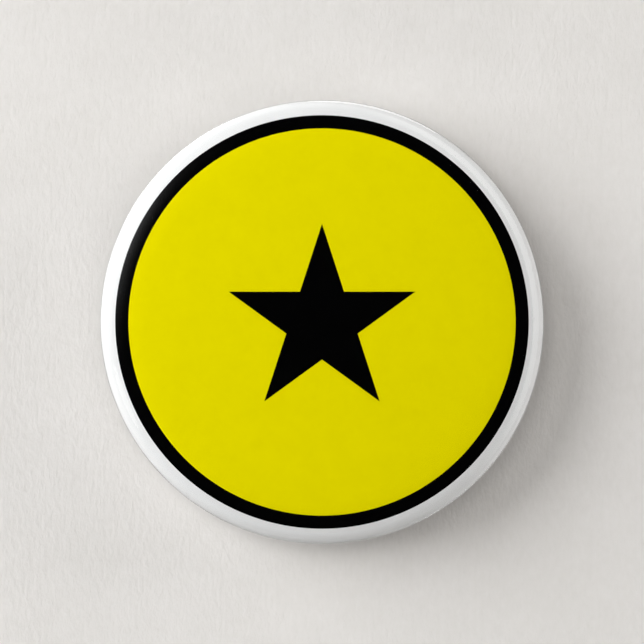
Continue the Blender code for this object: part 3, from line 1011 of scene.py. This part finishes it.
def make_area_light(name, direction, distance, size, power, colour, diffuse=True, glossy=True):
    """A round soft box that looks at the badge from a direction."""
    data = bpy.data.lights.new(name, "AREA")
    data.shape = "DISK"
    data.size = size
    data.energy = power
    data.color = colour
    light = bpy.data.objects.new(name, data)
    back = Vector(direction).normalized()
    light.location = back * distance
    light.rotation_mode = "QUATERNION"
    light.rotation_quaternion = (-back).to_track_quat("-Z", "Y")
    light.visible_camera = False
    light.visible_diffuse = diffuse
    light.visible_glossy = glossy
    bpy.context.collection.objects.link(light)


def towards(n, direction, around, off_axis):
    """How squarely a ray's direction meets from_front(around, off_axis), as their dot product."""
    aim = from_front(around, off_axis)
    return n.add("VectorMath", {"operation": "DOT_PRODUCT"}, i0=direction, i1=aim).outputs["Value"]


def mirrored_room(n, direction):
    """How bright the room is in what mirrors it.

    It is softly banded behind the badge, and dark in front of it but for a glow near the key and a window on
    the right.
    """
    axes = n.add("SeparateXYZ", i0=direction).outputs
    behind = n.ramp(axes["Y"], -0.76, 0.1, 0.0, 0.9, smooth=True)
    height = n.ramp(axes["Z"], -0.6, 0.8, 0.6, 1.1, smooth=True)
    bands = n.add("TexWave", {"bands_direction": "DIAGONAL"}, Vector=direction, Scale=0.40, Distortion=1.0)
    banded = n.ramp(bands.outputs["Fac"], 0.1, 0.9, 0.35, 1.15, smooth=True)
    room = n.math("MULTIPLY", n.math("MULTIPLY", behind, height), banded)
    near_edge = n.ramp(axes["Y"], -0.67, -0.63, smooth=True)
    far_edge = n.ramp(axes["Y"], -0.15, 0.05, 1.0, 0.0, smooth=True)
    rightwards = n.ramp(towards(n, direction, 20, 90), 0.35, 0.75, 0.0, 2.4, smooth=True)
    window = n.math("MULTIPLY", n.math("MULTIPLY", near_edge, far_edge), rightwards)
    glow = n.math("POWER", n.math("MAXIMUM", towards(n, direction, 157, 53), 0.0), 40.0)
    return n.math("ADD", n.math("MAXIMUM", room, window), n.math("MULTIPLY", glow, 2.2))


def make_world():
    """A pale room to the camera, dim light from behind to matt surfaces, the mirrored room to shiny ones."""
    world = bpy.data.worlds.new("studio")
    bpy.context.scene.world = world
    n = Nodes(world)
    direction = n.add("TexCoord").outputs["Generated"]
    shine = mirrored_room(n, direction)
    ambient = n.ramp(n.add("SeparateXYZ", i0=direction).outputs["Y"], 0.0, 0.8, 0.0, 0.10)
    path = n.add("LightPath").outputs
    pale = (1.0, 0.985, 0.965, 1)
    dim = n.add("Background", Color=pale, Strength=ambient).outputs[0]
    seen = n.add("Background", Color=pale, Strength=0.70).outputs[0]
    mirrored = n.add("Background", Color=grey(1.0), Strength=shine).outputs[0]
    direct = n.add("MixShader", i0=path["Is Camera Ray"], i1=dim, i2=seen).outputs[0]
    first_mirror = n.math("MULTIPLY", path["Is Glossy Ray"], not_scattered(n, path))
    surface = n.add("MixShader", i0=first_mirror, i1=direct, i2=mirrored).outputs[0]
    n.add("OutputWorld", Surface=surface)


def make_camera():
    """Straight in front of the badge, showing FRAME_WIDTH where the badge is widest."""
    data = bpy.data.cameras.new("camera")
    data.lens = LENS
    data.sensor_width = SENSOR
    data.clip_start = 0.01
    data.clip_end = 20.0
    camera = bpy.data.objects.new("camera", data)
    distance = FRAME_WIDTH * LENS / SENSOR
    camera.location = Vector((0, -distance + OUTLINE_Y, 0)) * MM
    camera.rotation_euler = (radians(90), 0, 0)
    bpy.context.collection.objects.link(camera)
    bpy.context.scene.camera = camera


def make_wall_and_floor():
    """The wall just behind the pin, and a wide floor that is seen but gives no light."""
    wall_y = (BAR_HIGH[1] + WALL_GAP) * MM
    side, floor, top, far = 0.6, -0.12, 0.6, 3.0
    wall = [(-side, wall_y, floor), (side, wall_y, floor), (side, wall_y, top), (-side, wall_y, top)]
    make_plane("wall", wall, wall_material())
    ground = [(-far, -far, floor), (far, -far, floor), (far, far, floor), (-far, far, floor)]
    plane = make_plane("floor", ground, floor_material())
    plane.visible_diffuse = False
    plane.visible_shadow = False


def make_lights():
    """Soft boxes all round. The five that light the front aren't mirrored, and sheen is only mirrored."""
    front_lights = (
        ("key", from_front(157, 62), 0.585, 4.9, COOL),
        ("front_left", from_front(135, 16), 0.30, 0.71, NEUTRAL),
        ("front_right", from_front(320, 25), 0.40, 0.52, NEUTRAL),
        ("side", from_front(20, 82), 0.35, 2.0, WARM),
        ("low", from_front(275, 82), 0.35, 0.86, WARM),
    )
    for name, direction, size, power, colour in front_lights:
        make_area_light(name, direction, FRONT_DISTANCE, size, power, colour, glossy=False)
    make_area_light("back_left", (-0.7, 0.75, 0.75), 0.5, 0.30, 0.9, NEUTRAL)
    make_area_light("back_top", (0.25, 0.8, 1.0), 0.6, 0.30, 0.6, NEUTRAL)
    make_area_light("sheen", from_front(201, 55), FRONT_DISTANCE, 0.17, 0.11, NEUTRAL, diffuse=False)


def make_stage():
    make_wall_and_floor()
    make_lights()
    make_world()
    bpy.context.scene.view_settings.view_transform = "Standard"


# ---------------------------------------------------------------- all together


def main():
    yellow = ink_material("yellow ink", YELLOW, mottle=0.02)
    black = ink_material("black ink", BLACK, mottle=0.2)
    white = ink_material("white paper", PAPER_WHITE, mottle=0.012)
    nickel = nickel_material()
    rivet = rivet_material()
    make_film([film_material(), film_inside_material()])
    make_paper([yellow, black, white])
    make_shell(tinplate_material("shell tinplate", (0.66, 0.66, 0.645), 0.30, grain_turn=90.0))
    make_back_plate(tinplate_material("back tinplate", (0.74, 0.735, 0.715), 0.20))
    make_pin_bar(nickel)
    make_needle(needle_material())
    make_catch_roller(nickel)
    make_rivets(rivet)
    make_camera()
    make_stage()


main()
